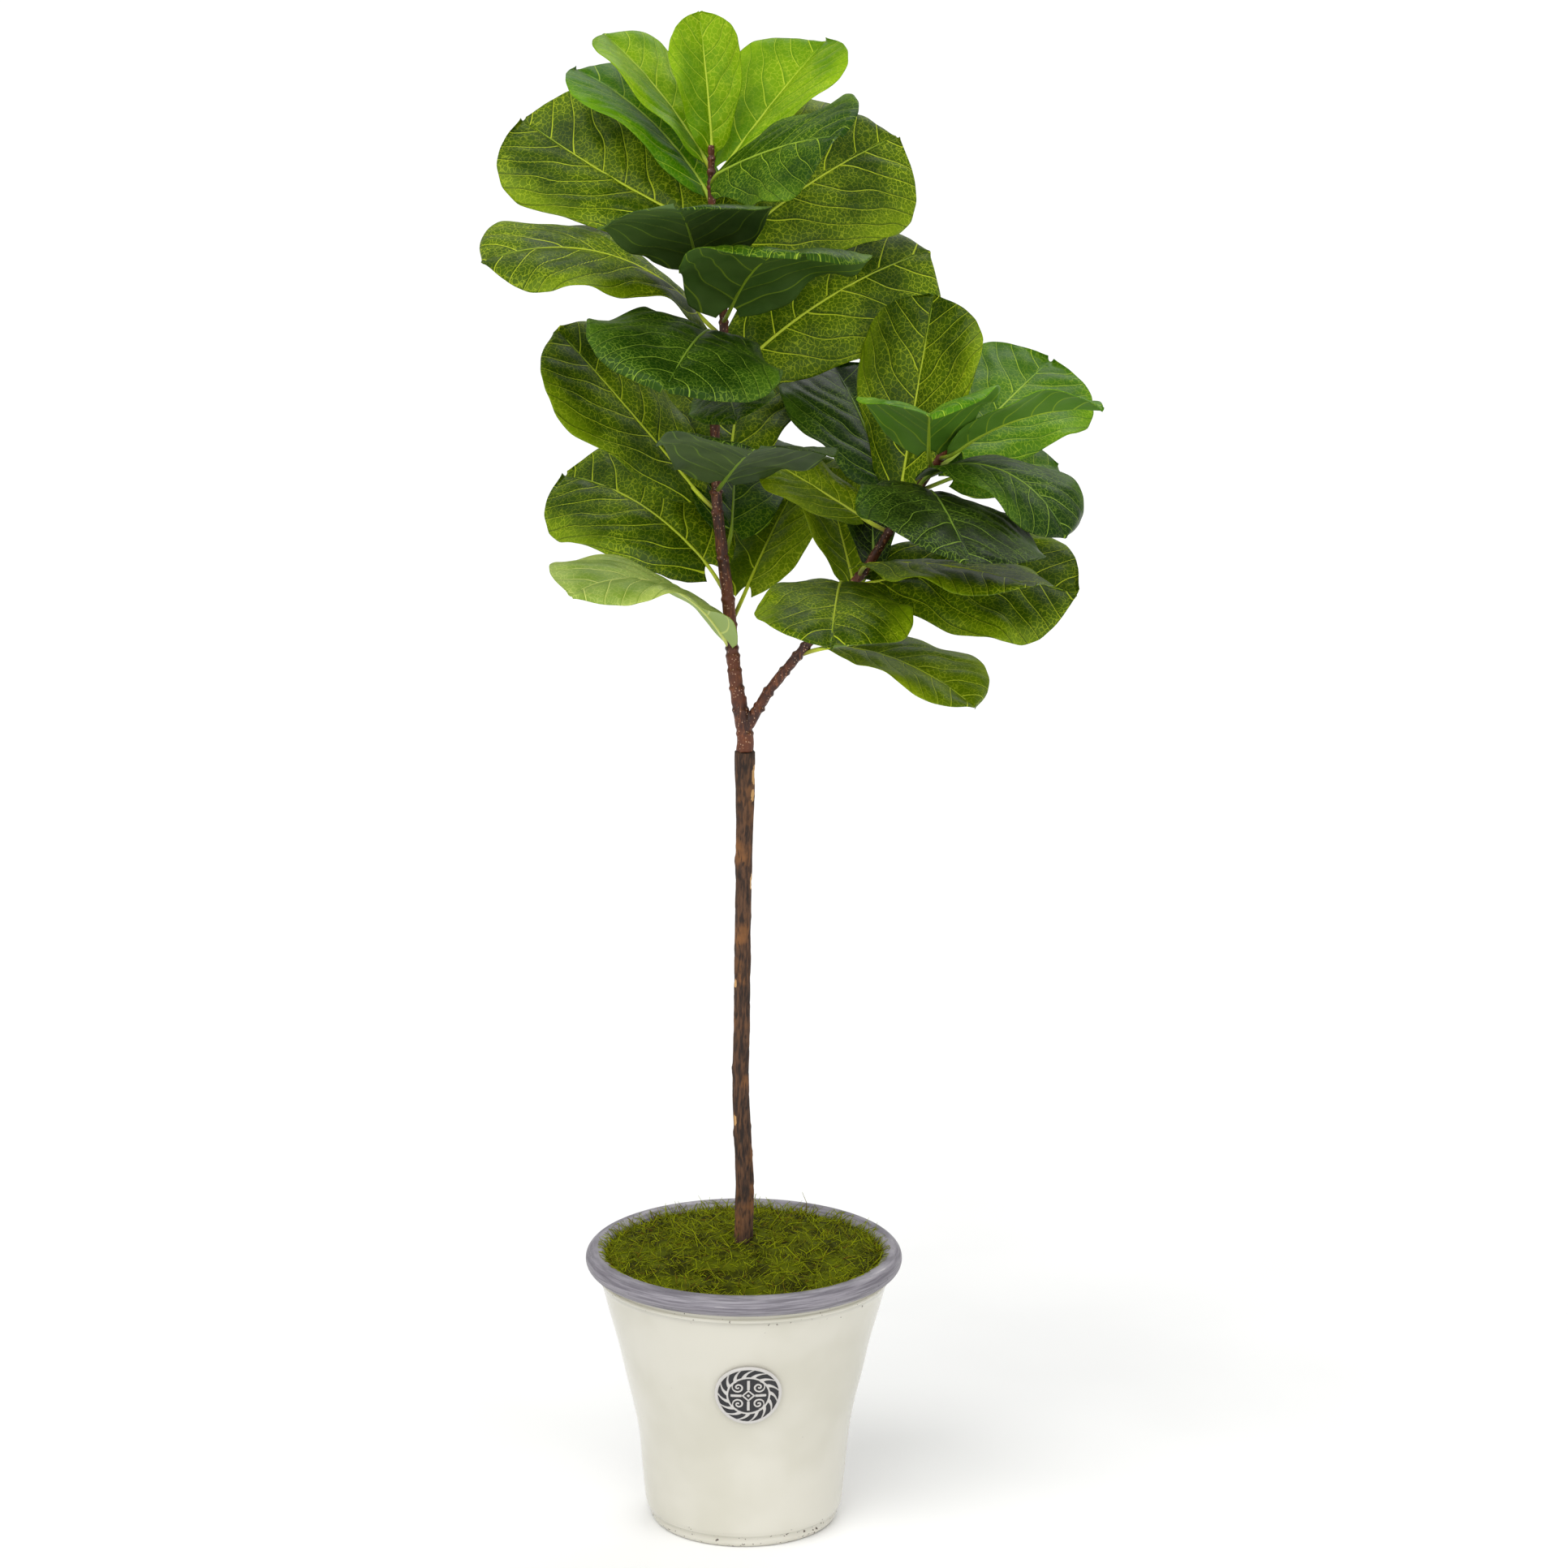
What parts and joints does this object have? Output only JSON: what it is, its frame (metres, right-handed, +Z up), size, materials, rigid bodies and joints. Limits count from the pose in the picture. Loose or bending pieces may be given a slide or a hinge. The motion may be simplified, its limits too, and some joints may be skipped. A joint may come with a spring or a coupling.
{
  "type": "potted fiddle leaf fig",
  "caption": "Fiddle leaf fig tree with a bare trunk, a forked leafy crown and a mossy round glazed pot; a free-standing plant that decorates a room.",
  "frame": {"origin": "centre of the pot's foot, on the floor", "axes": "+Z up the trunk, -Y towards the front, where the badge is, and +X towards the side the branch grows to"},
  "size_m": [0.5892, 0.5421, 1.5089],
  "materials": {
    "cream_glaze": "cream gloss glaze, with a matt grey-violet painted rim",
    "badge_glaze": "cream glaze with near-black glaze in the recesses",
    "potting_fill": "rough dark potting fill",
    "sheet_moss": "dry fibrous moss",
    "bark": "rough bark",
    "crown_bark": "ridged reddish brown bark, slightly glossy",
    "leaf_green": "satin leaf with paler veins",
    "leaf_young": "satin young leaf, yellow-green"
  },
  "bodies": {
    "root": {"pot": "cream_glaze", "badge": "badge_glaze", "soil": "potting_fill", "moss": "sheet_moss", "trunk": "bark", "crown_stem": "crown_bark", "leaf_l01": "leaf_young", "leaf_l02": "leaf_young", "leaf_l03": "leaf_young", "leaf_l04": "leaf_young", "leaf_l05": "leaf_green", "leaf_l06": "leaf_green", "leaf_l07": "leaf_green", "leaf_l08": "leaf_green", "leaf_l09": "leaf_green", "leaf_l10": "leaf_green", "leaf_l11": "leaf_green", "leaf_l12": "leaf_green", "leaf_l13": "leaf_green", "leaf_l14": "leaf_green", "leaf_l15": "leaf_green", "leaf_l16": "leaf_green", "leaf_l17": "leaf_green", "leaf_l18": "leaf_green", "leaf_l19": "leaf_green", "leaf_l20": "leaf_green", "leaf_b01": "leaf_green", "leaf_b02": "leaf_green", "leaf_b03": "leaf_green", "leaf_b04": "leaf_green", "leaf_b05": "leaf_green", "leaf_b06": "leaf_green", "leaf_b07": "leaf_green", "leaf_b08": "leaf_green", "leaf_b09": "leaf_young", "leaf_b10": "leaf_young", "leaf_b11": "leaf_green", "leaf_b12": "leaf_green", "leaf_b13": "leaf_green", "leaf_b14": "leaf_green", "leaf_b15": "leaf_green"}
  },
  "joints": []
}
